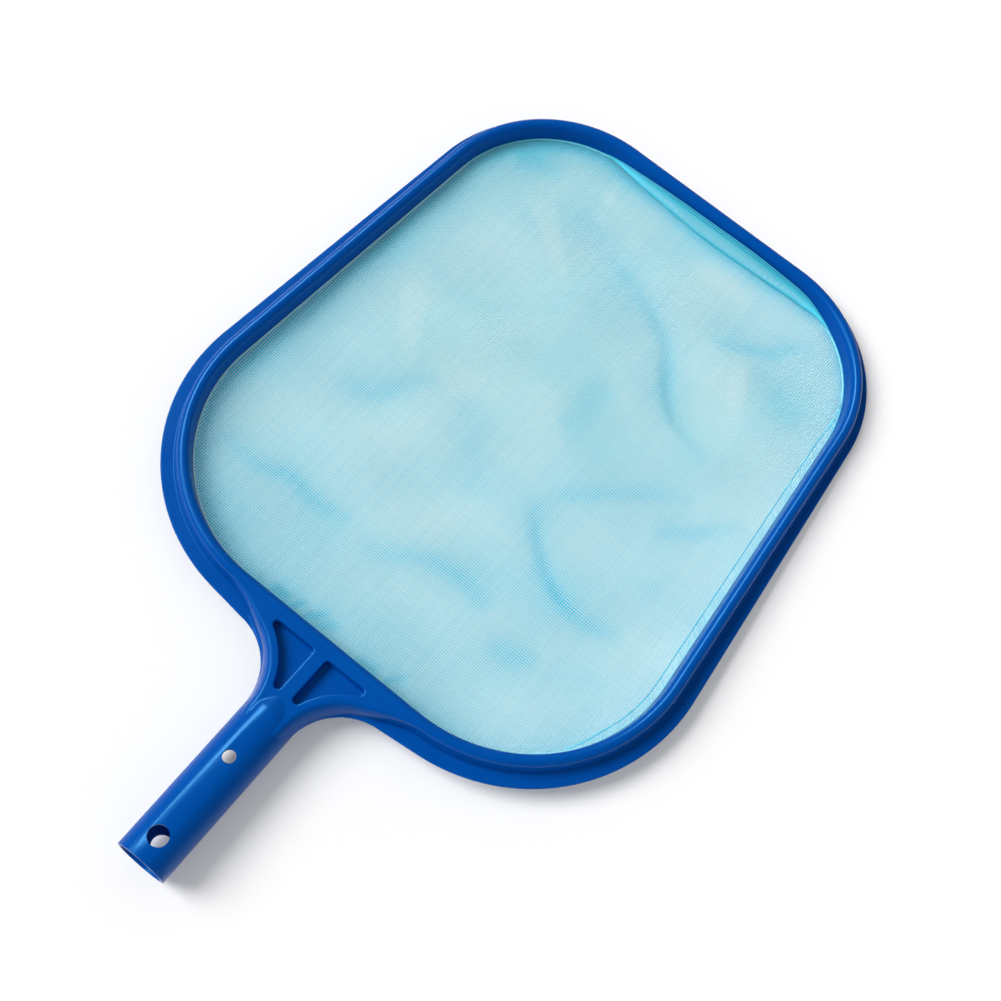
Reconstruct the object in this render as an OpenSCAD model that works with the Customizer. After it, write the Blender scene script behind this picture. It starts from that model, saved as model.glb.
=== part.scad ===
// Flat leaf skimmer for a pool: a moulded rim with a round bead and a scoop flange,
// a throat bracket and a pole socket, and a slack net held in the bead by a clamp ring.
// Lengths are in millimetres. X runs across, Y from the pole towards the far edge, Z up.

/* [Opening] */
// Length of the net opening, from the near edge to the far edge
opening_length = 382; // [300:1:460]
// Width of the opening where its side lines meet the near edge
near_width = 344; // [300:1:400]
// Width of the opening where its side lines meet the far edge
far_width = 288; // [240:1:340]
// Radius of the two corners beside the throat
near_corner_r = 100; // [70:1:110]
// Radius of the two far corners
far_corner_r = 81; // [50:1:95]

/* [Rim] */
// Width of the bead at its foot, where the net comes out from under it
bead_width = 10.7; // [9:0.1:14]
// Height of the bead's crown above the underside of the flange
bead_height = 15; // [12:0.5:20]
// Radius of the round crown
crown_r = 4; // [3:0.1:4.3]
// Thickness of the bead's wall
rim_wall = 2; // [1.4:0.1:2.4]
// Thickness of the flange
flange_t = 2; // [1.5:0.1:3]
// Reach of the flange beyond the bead at the near edge
flange_near = 8.5; // [6:0.5:14]
// Reach of the flange beyond the bead at the far edge
flange_far = 5; // [3:0.5:10]

/* [Throat] */
// Radius of the hollow sweep from the flange into the socket
throat_r = 38; // [32:1:46]
// How far the flange's edge swings out towards the throat
throat_drop = 2.1; // [1.5:0.1:4]
// Set-back of the raised arms' foot from the flange's sweep
arm_foot = 2; // [1:0.5:4]
// Set-back of the raised arms' top from the flange's sweep
arm_setback = 6.5; // [5:0.5:9]
// Width of the arms' top beside a recess
arm_w = 4; // [3:0.5:7]
// Width of the middle rib
rib_w = 9; // [7:0.5:12]
// Depth of the two recesses below the bracket's top
recess_depth = 7; // [4:0.5:8]
// Thickness of the web under the recesses
web_t = 2.5; // [1.5:0.1:3]
// Radius of the recess corners
recess_corner_r = 2.5; // [1.5:0.1:3]
// Height of the bracket's top above the underside of the flange
bracket_height = 14; // [12:0.5:14]
// Length of the full-round neck between the socket and its tapered end
neck_length = 4; // [2:1:8]
// Length of the neck's tapered end
neck_taper = 14; // [8:1:18]

/* [Pole socket] */
// Bore for the pole
socket_bore_d = 29; // [26:0.5:32]
// Wall of the socket
socket_wall = 2; // [1.5:0.1:3]
// Length of the round socket
socket_length = 102; // [90:1:140]
// Thickness of the wall that ends the bore
socket_end_t = 3; // [2:0.5:6]
// Diameter of the cross hole near the mouth
lock_hole_d = 12.5; // [8:0.5:14]
// Distance of that hole from the mouth
lock_hole_at = 15.5; // [12:0.5:24]
// Diameter of the cross hole further in
pin_hole_d = 8; // [5:0.5:10]
// Distance of that hole from the mouth
pin_hole_at = 72; // [40:0.5:80]
// Width of the opening in the lower wall under that hole
window_w = 20; // [14:0.5:24]
// Length of that opening
window_l = 30; // [26:0.5:34]

/* [Net] */
// Thickness of the net
net_t = 1; // [0.6:0.1:1.4]
// Spacing of the net's threads
net_pitch = 20.5; // [19:0.5:30]
// Width of a thread
thread_w = 1.8; // [1.2:0.1:3]
// Width of the hem that shows inside the rim
hem_w = 5; // [3:0.5:9]

/* [Clamp ring] */
// Thickness of the ring's base
clamp_base_t = 2; // [1.5:0.1:3]
// Height of the tongue that presses into the bead's groove
clamp_tongue_h = 5; // [3:0.5:7]
// Room round the ring in the bead's seat and groove
clamp_clearance = 0.2; // [0.1:0.05:0.3]

/* [Hidden] */
$fn = 96;
plastic_blue = [0.0, 0.30, 0.68];
net_blue = [0.62, 0.86, 0.92];

// Lean of the opening's sides towards the axis
side_lean = atan((near_width - far_width) / 2 / opening_length);
// Level of the bead's foot and of the net's upper side
net_top = clamp_base_t + net_t;
// Reach of the whole rim outside the opening, at the near and the far edge
rim_near = bead_width + flange_near;
rim_far = bead_width + flange_far;
socket_r = socket_bore_d / 2 + socket_wall;
// The sweep's centres lie beside the socket
sweep_x = socket_r + throat_r;
sweep_y = -rim_near - throat_drop - throat_r;
// Corner radius beside the throat, held to what leaves the throat a straight near edge
side_room = tan(side_lean) + 1 / cos(side_lean);
near_r = min(near_corner_r, (near_width / 2 - sweep_x) / side_room);
arm_r = throat_r + arm_setback;
recess_r = arm_r + arm_w;
// Half the width of the groove that takes the clamp ring's tongue, inside the bead's wall and a narrow ledge
groove_half = bead_width / 2 - rim_wall - 2 * clamp_clearance;
mouth_y = sweep_y - socket_length;
// The part's own origin: under the middle of the box that it fills
origin_y = (mouth_y + opening_length + rim_far) / 2;
// Small step by which cuts run past the faces that they open
past = 1;
// Steps of the bead's round crown, of each corner, along an arm and over its shoulder
crown_steps = 8;
corner_steps = 16;
arm_steps = 10;
shoulder_steps = 6;

// Corner circle centres of the opening, on the side where x is positive
function near_centre() =
    [near_width / 2 - near_r * side_room, near_r];
function far_centre() =
    [far_width / 2 + far_corner_r * tan(side_lean) - far_corner_r / cos(side_lean),
     opening_length - far_corner_r];

// Direction from c of the point where a line from p touches the circle of radius r; side is 1 or -1
function touch_angle(p, c, r, side) =
    let (v = p - c) atan2(v[1], v[0]) + side * acos(r / norm(v));

// True where p lies inside the opening with its edge moved in by d
function in_opening(p, d) =
    let (x = abs(p[0]), n = near_centre(), f = far_centre(),
         side = (x - near_width / 2) * cos(side_lean) + p[1] * sin(side_lean))
    side < -d && p[1] > d && p[1] < opening_length - d
    && (x < n[0] || p[1] > n[1] || norm([x, p[1]] - n) < near_r - d)
    && (x < f[0] || p[1] < f[1] || norm([x, p[1]] - f) < far_corner_r - d);

// Places the part's working frame, whose zero is the near edge of the opening
module placed() translate([0, -origin_y, socket_r]) children();

// Both sides of a symmetrical shape
module both_sides() {
    children();
    mirror([1, 0, 0]) children();
}

// Outline of the opening with its edge moved out by d
module opening_outline(d) {
    n = near_centre();
    f = far_centre();
    out = [cos(side_lean), sin(side_lean)];
    right = [[n[0], -d], n + (near_r + d) * out, f + (far_corner_r + d) * out,
        [f[0], opening_length + d]];
    left = [for (i = [3:-1:0]) [-right[i][0], right[i][1]]];
    polygon(concat(right, left));
    both_sides() {
        translate(n) circle(near_r + d);
        translate(f) circle(far_corner_r + d);
    }
}

// Band round the opening, to half its width on each side of the bead's crown
module crown_band(half) {
    difference() {
        opening_outline(bead_width / 2 + half);
        opening_outline(bead_width / 2 - half);
    }
}

// Direction square to the flange's edge where it runs straight from the near corner to the sweep, touching
// both, and the point where the sweep takes over
function flare_turn() =
    let (v = near_centre() - [sweep_x, sweep_y])
    atan2(v[1], v[0]) + acos((throat_r + near_r + rim_near) / norm(v));
function sweep_start() = [sweep_x, sweep_y] + throat_r * [cos(flare_turn()), sin(flare_turn())];

// Stations of the rim: centre, radius and direction outwards, and the rim's reach there. The flange's edge
// follows the corner's arc, but for the straight run towards the throat
function corner_stations(c, r, from, to, reach, straight_to) =
    [for (i = [0:corner_steps]) let (turn = from + (to - from) * i / corner_steps)
        [c, r, turn, turn < straight_to ? (r + reach) / cos(turn - straight_to) - r : reach]];
function right_stations() = concat(
    [[[sweep_start()[0], near_r], near_r, -90, -sweep_start()[1]]],
    corner_stations(near_centre(), near_r, -90, side_lean, rim_near, flare_turn() - 180),
    corner_stations(far_centre(), far_corner_r, side_lean, 90, rim_far, side_lean));

// The same stations on the side where x is negative, in the order that goes on round the opening
function left(stations) =
    [for (i = [len(stations) - 1:-1:0]) let (s = stations[i])
        [[-s[0][0], s[0][1]], s[1], 180 - s[2], s[3]]];

// Points of a section, each given as distance outwards and height, at one station
function at_station(s, section) =
    [for (p = section) let (q = s[0] + (s[1] + p[0]) * [cos(s[2]), sin(s[2])]) [q[0], q[1], p[1]]];

// The bead's upper side, from its foot inside the opening over the round crown to its foot outside
function bead_upper() =
    let (foot_in = [0, net_top], foot_out = [bead_width, flange_t],
         c = [bead_width / 2, bead_height - crown_r],
         start = 360 + touch_angle(foot_in, c, crown_r, -1),
         end = touch_angle(foot_out, c, crown_r, 1),
         crown = [for (i = [0:crown_steps]) let (turn = start + (end - start) * i / crown_steps)
             c + crown_r * [cos(turn), sin(turn)]])
    concat([foot_in], crown, [foot_out]);

// Whole section of the rim: the bead, the flange, the clamp ring's seat and the groove for its tongue
function rim_section(reach) =
    let (seat = bead_width - rim_wall, middle = bead_width / 2,
         top = net_top + clamp_tongue_h + clamp_clearance)
    concat(bead_upper(), [[reach, flange_t], [reach, 0], [seat, 0], [seat, net_top],
        [middle + groove_half, net_top], [middle + groove_half, top],
        [middle - groove_half, top], [middle - groove_half, net_top]]);

// Skin through sections of equal size that follow each other in a ring
module skin(sections) {
    count = len(sections);
    size = len(sections[0]);
    polyhedron([for (section = sections) each section],
        [for (i = [0:count - 1], j = [0:size - 1])
            let (next = (i + 1) % count * size, this = i * size, up = (j + 1) % size)
            each [[this + j, next + up, this + up], [this + j, next + j, next + up]]]);
}

// Filled bead along the straight near edge
module near_bead() {
    section = concat(bead_upper(), [[bead_width, -past], [0, -past]]);
    rotate([90, 0, 90]) linear_extrude(near_width, center = true) polygon([for (p = section) [-p[0], p[1]]]);
}

// Foot of the throat at the flange's level, from the flange's edge to the two hollow sweeps
module throat_foot() {
    difference() {
        translate([-sweep_x, sweep_y]) square([2 * sweep_x, sweep_start()[1] - sweep_y]);
        both_sides() translate([sweep_x, sweep_y]) circle(throat_r);
    }
}

// Right side of the raised arms at one level, from the neck along a sweep of radius r, then straight on to
// a point d outside the opening where the near corner starts, and in under the bead's crown
function arm_side(r, d) =
    let (c = [sweep_x, sweep_y], end = [near_centre()[0], -d], v = end - c,
         stop = atan2(v[1], v[0]) + acos(r / norm(v)))
    concat([for (i = [0:arm_steps]) let (turn = 180 + (stop - 180) * i / arm_steps)
        c + r * [cos(turn), sin(turn)]], [end, [end[0], -bead_width / 2]]);

// Raised part of the throat: levels of the arms' outline from their foot on the flange up to the flat top,
// which draw in along a quarter of an ellipse, so that the shoulder is round
module throat_arms() {
    over_crown = crown_r - bead_height + bracket_height;
    crown_half = sqrt(max(pow(past, 2), pow(crown_r, 2) - pow(over_crown, 2)));
    foot_r = throat_r + arm_foot;
    foot_d = bead_width - rim_wall / 2;
    top_d = bead_width / 2 + crown_half;
    levels = [for (k = [0:shoulder_steps])
        let (turn = 90 * k / shoulder_steps, in = 1 - cos(turn),
             side = arm_side(foot_r + (arm_r - foot_r) * in, foot_d + (top_d - foot_d) * in))
        [for (p = side) [p[0], p[1], flange_t + (bracket_height - flange_t) * sin(turn)]]];
    count = len(levels[0]);
    size = 2 * count;
    points = [for (level = levels) each concat(level,
        [for (i = [count - 1:-1:0]) [-level[i][0], level[i][1], level[i][2]]])];
    sides = [for (k = [0:shoulder_steps - 1], j = [0:size - 1])
        let (this = k * size, next = this + size, up = (j + 1) % size)
        each [[this + j, next + up, this + up], [this + j, next + j, next + up]]];
    top = shoulder_steps * size;
    caps = [for (j = [0:count - 2]) let (across = size - 1 - j)
        each [[j, j + 1, across - 1], [j, across - 1, across],
              [top + j, top + across - 1, top + j + 1], [top + j, top + across, top + across - 1]]];
    polyhedron(points, concat(sides, caps));
}

// One recess: a corner against the bead and the arm, one against the rib, one at the socket
module recess_outline() {
    c = [sweep_x, sweep_y];
    top = -bead_width - rim_wall / 2;
    reach = recess_r + recess_corner_r;
    row = top - recess_corner_r;
    column = rib_w / 2 + recess_corner_r;
    arm_corner = [sweep_x - sqrt(pow(reach, 2) - pow(row - sweep_y, 2)), row];
    rib_corner = [column, row];
    socket_corner = [column, sweep_y + sqrt(pow(reach, 2) - pow(sweep_x - column, 2))];
    arm_touch = c + recess_r * (arm_corner - c) / reach;
    socket_touch = c + recess_r * (socket_corner - c) / reach;
    difference() {
        polygon([[arm_corner[0], top], [column, top], [rib_w / 2, row], [rib_w / 2, socket_corner[1]],
            socket_touch, arm_touch]);
        translate(c) circle(recess_r);
    }
    for (p = [arm_corner, rib_corner, socket_corner]) translate(p) circle(recess_corner_r);
}

// Cut for the hole near the socket's mouth, through both of its walls
module lock_hole() {
    translate([0, mouth_y + lock_hole_at, -socket_r - past])
        cylinder(d = lock_hole_d, h = 2 * (socket_r + past));
}

// Cut for the hole further in, through the upper wall, and for the wider opening in the lower wall under it
module pin_hole() {
    translate([0, mouth_y + pin_hole_at, 0]) {
        cylinder(d = pin_hole_d, h = socket_r + past);
        translate([0, 0, -socket_r - past]) linear_extrude(socket_r) {
            square([window_w, window_l - window_w], center = true);
            for (side = [-1, 1]) translate([0, side * (window_l - window_w) / 2]) circle(d = window_w);
        }
    }
}

module rim_frame() {
    stations = concat(right_stations(), left(right_stations()));
    color(plastic_blue) placed() skin([for (s = stations) at_station(s, rim_section(s[3]))]);
}

module throat_bracket() {
    color(plastic_blue) placed() difference() {
        union() {
            linear_extrude(flange_t) throat_foot();
            throat_arms();
            translate([0, sweep_y, 0]) rotate([-90, 0, 0]) cylinder(r = socket_r, h = neck_length);
            translate([0, sweep_y + neck_length, 0]) rotate([-90, 0, 0])
                cylinder(r1 = socket_r, r2 = bracket_height - past, h = neck_taper);
        }
        near_bead();
        both_sides() translate([0, 0, bracket_height - recess_depth]) linear_extrude(recess_depth + past)
            recess_outline();
        both_sides() translate([0, 0, -past]) linear_extrude(bracket_height - recess_depth - web_t + past)
            intersection() {
                recess_outline();
                translate([0, sweep_y]) square([sweep_x, sweep_start()[1] - web_t - sweep_y]);
            }
    }
}

module pole_socket() {
    color(plastic_blue) placed() difference() {
        translate([0, mouth_y, 0]) rotate([-90, 0, 0]) cylinder(r = socket_r, h = socket_length);
        translate([0, mouth_y - past, 0]) rotate([-90, 0, 0])
            cylinder(d = socket_bore_d, h = socket_length - socket_end_t + past);
        lock_hole();
        pin_hole();
    }
}

module skimmer_net() {
    gap = net_pitch - thread_w;
    columns = ceil(near_width / net_pitch / 2);
    rows = ceil(opening_length / net_pitch / 2);
    middle = opening_length / 2;
    color(net_blue) placed() translate([0, 0, clamp_base_t]) linear_extrude(net_t) difference() {
        opening_outline(bead_width / 2 - groove_half);
        intersection() {
            opening_outline(-hem_w);
            for (i = [-columns:columns], j = [-rows:rows]) {
                p = [i * net_pitch, middle + j * net_pitch];
                if (in_opening(p, hem_w)) translate(p) square(gap, center = true);
            }
        }
    }
}

module net_clamp_ring() {
    color(plastic_blue) placed() {
        linear_extrude(clamp_base_t) difference() {
            opening_outline(bead_width - rim_wall - clamp_clearance);
            opening_outline(0);
        }
        linear_extrude(net_top + clamp_tongue_h) crown_band(groove_half - clamp_clearance);
    }
}

rim_frame();
throat_bracket();
pole_socket();
skimmer_net();
net_clamp_ring();
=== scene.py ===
"""Leaf skimmer net: blue moulding, slack woven net and a plain studio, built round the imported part."""

import math

import bmesh
import bpy
import numpy as np
from bpy.props import FloatProperty, FloatVectorProperty, IntProperty, PointerProperty
from bpy.types import Operator, Panel, PropertyGroup
from mathutils import Matrix, Vector


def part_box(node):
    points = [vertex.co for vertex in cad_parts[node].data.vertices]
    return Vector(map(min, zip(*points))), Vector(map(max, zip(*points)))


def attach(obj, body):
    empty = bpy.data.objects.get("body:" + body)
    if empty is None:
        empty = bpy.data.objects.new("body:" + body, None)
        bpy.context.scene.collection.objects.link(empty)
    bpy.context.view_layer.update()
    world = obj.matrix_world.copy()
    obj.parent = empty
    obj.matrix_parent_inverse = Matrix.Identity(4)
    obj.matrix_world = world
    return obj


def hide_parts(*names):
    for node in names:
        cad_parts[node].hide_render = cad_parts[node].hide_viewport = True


bl_info = {
    "name": "Leaf skimmer net",
    "version": (1, 0, 0),
    "blender": (4, 5, 0),
    "location": "View3D > Sidebar > Skimmer",
    "description": "Builds the moulding, the woven net and the studio round the packed skimmer",
    "category": "Object",
}

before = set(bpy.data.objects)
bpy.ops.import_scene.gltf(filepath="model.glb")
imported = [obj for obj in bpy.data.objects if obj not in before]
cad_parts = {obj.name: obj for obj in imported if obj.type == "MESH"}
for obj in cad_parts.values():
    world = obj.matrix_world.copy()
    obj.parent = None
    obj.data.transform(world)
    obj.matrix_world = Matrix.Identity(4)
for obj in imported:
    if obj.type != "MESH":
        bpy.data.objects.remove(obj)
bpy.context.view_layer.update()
MM = 0.001
RIM_LOW, RIM_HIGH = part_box("rim_frame")
SOCKET_LOW, SOCKET_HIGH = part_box("pole_socket")
# The flange's underside is the height that the rim is measured from
FLANGE_BASE = RIM_LOW.z
SOCKET_RADIUS = (SOCKET_HIGH.z - SOCKET_LOW.z) / 2

# Points of a CAD node that lie closer than this are one point
WELD = 1e-6
# Faces that turn by less are one flat face, and edges that turn by more are sharp
FLAT_TURN = math.radians(0.6)
SHARP_TURN = math.radians(25)
# Turn over which an edge of a swept ring is shaded as sharp
RING_TURN = math.radians(50)


def real(name, description, default, **more):
    """A setting that is a number, with the unit, subtype and limits that more gives."""
    return FloatProperty(name=name, description=description, default=default, **more)


def metres(name, description, default):
    """A setting that is a length."""
    return real(name, description, default, unit="LENGTH")


def degrees(name, description, default):
    """A setting that is an angle."""
    return real(name, description, math.radians(default), subtype="ANGLE")


def vector(name, description, default, subtype, **limits):
    """A setting of three numbers, such as a place or a direction."""
    return FloatVectorProperty(
        name=name, description=description, default=default, subtype=subtype, **limits)


def colour(name, description, default):
    """A setting that is a colour."""
    return vector(name, description, default, "COLOR", min=0.0, max=1.0)


class RimSizes(PropertyGroup):
    """Sizes of the opening and of the moulded rim round it."""

    opening_length: metres("Opening length", "From the near to the far edge of the net", 0.382)
    near_width: metres("Near width", "Width between the side lines at the near edge", 0.344)
    far_width: metres("Far width", "Width between the side lines at the far edge", 0.288)
    near_corner: metres("Near corner", "Corner radius beside the throat", 0.100)
    far_corner: metres("Far corner", "Corner radius at the far edge", 0.081)
    bead_width: metres("Bead width", "Width of the bead at its foot", 0.0107)
    bead_height: metres("Bead height", "Height of the crown above the flange's underside", 0.015)
    crown_radius: metres("Crown radius", "Radius of the bead's round crown", 0.004)
    wall: metres("Wall", "Thickness of the bead's wall", 0.002)
    flange: metres("Flange", "Thickness of the flange", 0.002)
    flange_near: metres("Flange near", "Reach of the flange beyond the bead at the near edge", 0.0085)
    flange_far: metres("Flange far", "Reach of the flange beyond the bead at the far edge", 0.005)
    clamp_base: metres("Clamp base", "Thickness of the clamp ring under the net", 0.002)
    clamp_tongue: metres("Clamp tongue", "Height of the clamp ring's tongue above the net", 0.005)
    clearance: metres("Clearance", "Room round the clamp ring", 0.0002)
    edge_radius: metres("Edge radius", "Rounding of the moulding's outer edges", 0.0008)
    throat_radius: metres("Throat radius", "Hollow sweep from the flange into the socket", 0.038)
    arm_foot: metres("Arm foot", "Set-back of the raised arms' foot from the sweep", 0.002)
    arm_setback: metres("Arm set-back", "Set-back of the raised arms' top from the sweep", 0.0065)
    bracket_height: metres("Bracket height", "Height of the throat's flat top over the flange's underside",
                           0.014)
    neck_length: metres("Neck length", "Length of the full-round neck", 0.004)
    neck_taper: metres("Neck taper", "Length of the neck's tapered end", 0.014)
    blend_cell: metres("Blend cell", "Cell of the grid that fuses the throat's forms", 0.00055)
    blend_passes: IntProperty(
        name="Blend passes", description="Smoothing passes that round the throat's edges", default=8, min=0)


class NetSizes(PropertyGroup):
    """Sizes of the woven net and how far it hangs slack."""

    thickness: metres("Thickness", "Room for the net between the clamp ring and the bead", 0.001)
    pitch: metres("Pitch", "Spacing of the threads", 0.00155)
    thread_width: metres("Thread width", "Width of one thread", 0.0007)
    thread_height: metres("Thread height", "Height of one thread", 0.00042)
    rings: IntProperty(name="Rings", description="Cross-sections along one thread", default=100, min=8)
    tuck: metres("Tuck", "How far the net's edge runs in under the bead", 0.0022)
    slack: real("Slack", "Share of the room over the ground that the net sags", 0.45,
                subtype="FACTOR", min=0.0, max=1.0)
    strip_width: metres("Strip width", "Distance of the far crease from the bead", 0.0088)
    strip_height: metres("Strip height", "How high the doubled edge stands against the far wall", 0.0068)
    hem_width: metres("Hem width", "Widest show of the doubled edge inside the bead", 0.005)


class Finish(PropertyGroup):
    """Colours of the moulding, the net and the floor."""

    plastic: colour("Plastic", "Blue of the moulding", (0.0, 0.072, 0.365))
    glint: colour("Glint", "Tint of the moulding's highlights", (0.12, 0.60, 1.0))
    thread: colour("Thread", "Pale blue of the net's threads", (0.64, 0.95, 1.0))
    # The fold colour, and past it the crease colour, also serve as painted shade along the net's left side
    # and near edge
    fold: colour("Fold", "Deeper blue where the net is gathered in a fold", (0.06, 0.66, 0.86))
    crease: colour("Crease", "Deepest colour, where the net lies double in a crease", (0.0, 0.30, 0.47))
    floor: colour("Floor", "Pale floor", (0.97, 0.97, 0.97))


class Studio(PropertyGroup):
    """Camera and lamps."""

    lens: real("Lens", "Focal length in millimetres on a 36 mm sensor", 58.35)
    camera: vector("Camera", "Place of the camera", (0.1564, -0.34975, 0.9247), "TRANSLATION")
    target: vector("Target", "Point that the camera looks at", (0.01678, 0.01812, 0.0165), "TRANSLATION")
    roll: degrees("Roll", "Turn of the camera about its own axis", 18.9)
    sky: real("Sky", "Strength of the even light from all sides", 0.37)
    key: real("Key", "Strength of the broad soft lamp", 2.9)
    key_size: degrees("Key size", "Angle that the broad lamp fills", 34)
    key_from: vector("Key from", "Direction that the broad lamp shines from", (-1.0, -0.45, 1.15),
                     "DIRECTION")
    spark: real("Spark", "Strength of each small lamp that draws the thin highlights", 3.0)
    spark_size: degrees("Spark size", "Angle that a small lamp fills", 18)
    spark_from: vector("Spark from", "Direction midway between the two small lamps", (-0.62, 0.25, 0.75),
                       "DIRECTION")
    spark_spread: real("Spark spread", "How far the small lamps stand to each side of that direction", 0.13)
    floor_glow: real("Floor glow", "Share of plain white in the floor as the camera sees it", 0.17,
                     subtype="FACTOR", min=0.0, max=1.0)


def unit(vectors):
    """Each vector divided by its length."""
    return vectors / np.linalg.norm(vectors, axis=-1, keepdims=True)


def ways(turn):
    """Directions in the plane at the given angles, as (cos, sin)."""
    return np.stack([np.cos(turn), np.sin(turn)], -1)


def ramp(value, start, span):
    """(value - start) / span kept within 0 and 1, so with a negative span it grows below the start."""
    return np.clip((value - start) / span, 0.0, 1.0)


def eased(share):
    """A share from 0 to 1 that sets off and arrives gently: 3 s^2 - 2 s^3."""
    return share**2 * (3 - 2 * share)


def near_edge(rim):
    """Where the opening's near edge lies, measured back from the flange's far edge."""
    return RIM_HIGH.y - rim.flange_far - rim.bead_width - rim.opening_length


def opening_corners(rim):
    """Centres, radii and first and last directions of the opening's four corner arcs, anticlockwise from
    the near right one. The side lines lean by atan of half the taper over the length, and an arc that
    touches the near edge and such a line has its centre the radius times (tan + 1 / cos) inside it."""
    lean = math.atan((rim.near_width - rim.far_width) / 2 / rim.opening_length)
    near_x = rim.near_width / 2 - rim.near_corner * (math.tan(lean) + 1 / math.cos(lean))
    far_x = rim.far_width / 2 + rim.far_corner * (math.tan(lean) - 1 / math.cos(lean))
    near_y = near_edge(rim)
    low, high = near_y + rim.near_corner, near_y + rim.opening_length - rim.far_corner
    centres = np.array([[near_x, low], [far_x, high], [-far_x, high], [-near_x, low]])
    radii = np.array([rim.near_corner, rim.far_corner, rim.far_corner, rim.near_corner])
    half = math.pi / 2
    first = np.array([-half, lean, half, math.pi - lean])
    last = np.array([lean, half, math.pi - lean, 3 * half])
    return centres, radii, first, last


def sweep_centre(rim):
    """Centre of the right-hand sweep that leads from the flange into the socket."""
    return np.array([SOCKET_RADIUS + rim.throat_radius, SOCKET_HIGH.y])


def throat_flare(rim):
    """The flange's straight run from the near right corner to the throat's sweep, which touches both: the
    direction square to it and the point where the sweep takes over. A line between two circles, one on each
    side of it, is turned from the line of their centres by acos(sum of radii / distance)."""
    centres, radii, _, _ = opening_corners(rim)
    reach = radii[0] + rim.bead_width + rim.flange_near
    centre = sweep_centre(rim)
    gap = centres[0] - centre
    square = ways(math.atan2(gap[1], gap[0]) + math.acos((rim.throat_radius + reach) / np.linalg.norm(gap)))
    return square, centre + rim.throat_radius * square


def flared_reach(rim, points, out, reach):
    """The rim's reach with the near flange carried out to the straight runs and, between them, to the
    throat's foot: the distance along a station's direction to the line through the sweep's start."""
    flattest, slip = -0.5, 1e-6
    square, start = throat_flare(rim)
    there = np.stack([np.abs(points[:, 0]), points[:, 1]], -1)
    away = np.stack([np.abs(out[:, 0]), out[:, 1]], -1)
    to_line = ((start - there) @ square) / np.minimum(away @ square, flattest)
    to_foot = there[:, 1] - start[1]
    past_touch = np.arctan2(away[:, 1], away[:, 0]) < math.atan2(-square[1], -square[0]) + slip
    return np.where(past_touch, np.where(there[:, 0] < start[0], to_foot, to_line), reach)


def opening_path(rim, corner_steps, straight_steps):
    """Stations round the opening's edge: points, directions outwards and the rim's reach. An arc's point is
    its centre plus the radius times the direction; a straight run is mixed from the ends of two arcs."""
    centres, radii, first, last = opening_corners(rim)
    share = np.linspace(0.0, 1.0, corner_steps + 1)
    out = ways(first[:, None] + (last - first)[:, None] * share)
    points = centres[:, None] + radii[:, None, None] * out
    reach = rim.bead_width + np.array([rim.flange_near, rim.flange_far, rim.flange_far, rim.flange_near])
    reach = np.repeat(reach[:, None], corner_steps + 1, 1)
    between = np.linspace(0.0, 1.0, straight_steps + 1)[1:-1]

    def with_straights(values):
        """The values at each corner, followed by the straight run to the next corner."""
        start = values[:, -1:]
        end = np.roll(values, -1, 0)[:, :1]
        mix = between.reshape((1, -1) + (1,) * (values.ndim - 2))
        run = start + (end - start) * mix
        joined = np.concatenate([values, run], 1)
        return joined.reshape((-1,) + values.shape[2:])

    points, out, reach = with_straights(points), with_straights(out), with_straights(reach)
    return points, out, flared_reach(rim, points, out, reach)


def rounded(corners, radii, steps):
    """Closed outlines with every corner rounded: the arc that touches both edges, whose centre lies on the
    bisector at radius / sin(half angle), swept in equal turns. Shape (..., corners, 2) gives
    (..., corners * (steps + 1), 2)."""
    to_last = unit(np.roll(corners, 1, -2) - corners)
    to_next = unit(np.roll(corners, -1, -2) - corners)
    bisector = unit(to_last + to_next)
    half = np.arccos(np.clip(np.sum(bisector * to_next, -1), -1.0, 1.0))
    centre = corners + bisector * (radii / np.sin(half))[..., None]
    side = np.sign(to_last[..., 0] * to_next[..., 1] - to_last[..., 1] * to_next[..., 0])
    spin = ways(np.linspace(1.0, -1.0, steps + 1) * ((math.pi / 2 - half) * side)[..., None])
    x = -bisector[..., None, :]
    turned = np.stack([x[..., 0] * spin[..., 0] - x[..., 1] * spin[..., 1],
                       x[..., 0] * spin[..., 1] + x[..., 1] * spin[..., 0]], -1)
    points = centre[..., None, :] + radii[..., None, None] * turned
    return points.reshape(points.shape[:-3] + (-1, 2))


def grid_faces(rows, columns, close_rows, close_columns):
    """Quads of a grid of rows by columns, as indices into its points row after row."""
    i = np.arange(rows if close_rows else rows - 1)[:, None]
    j = np.arange(columns if close_columns else columns - 1)[None, :]
    down = (i + 1) % rows
    right = (j + 1) % columns
    quads = np.stack([i * columns + j + 0 * down, i * columns + right, down * columns + right,
                      down * columns + j], -1)
    return quads.reshape(-1, 4)


def placed(name, data):
    """A new object of the scene, at the origin, that holds the given mesh, lamp or camera."""
    thing = bpy.data.objects.new(name, data)
    bpy.context.scene.collection.objects.link(thing)
    return thing


def mesh_piece(name, points, quads, sharp_angle):
    """A new object at the origin from arrays of points and quads, smooth but for edges over an angle."""
    mesh = bpy.data.meshes.new(name)
    mesh.from_pydata(points.reshape(-1, 3), [], quads)
    mesh.update()
    mesh.polygons.foreach_set("use_smooth", np.ones(len(mesh.polygons), bool))
    mesh.set_sharp_from_angle(angle=sharp_angle)
    return placed(name, mesh)


def dress(piece, material, slot, *nodes):
    """Gives a piece its material and its place in the frame."""
    piece.data.materials.clear()
    piece.data.materials.append(material)
    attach(piece, "root")
    if nodes:
        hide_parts(*nodes)
    return piece


def mould(piece, node):
    """Gives a piece of the blue moulding its material and its place in the frame, and hides the CAD node
    that it stands in for.
    """
    dress(piece, shared_material("moulded blue plastic", moulded_plastic), "frame_plastic", node)


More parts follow.
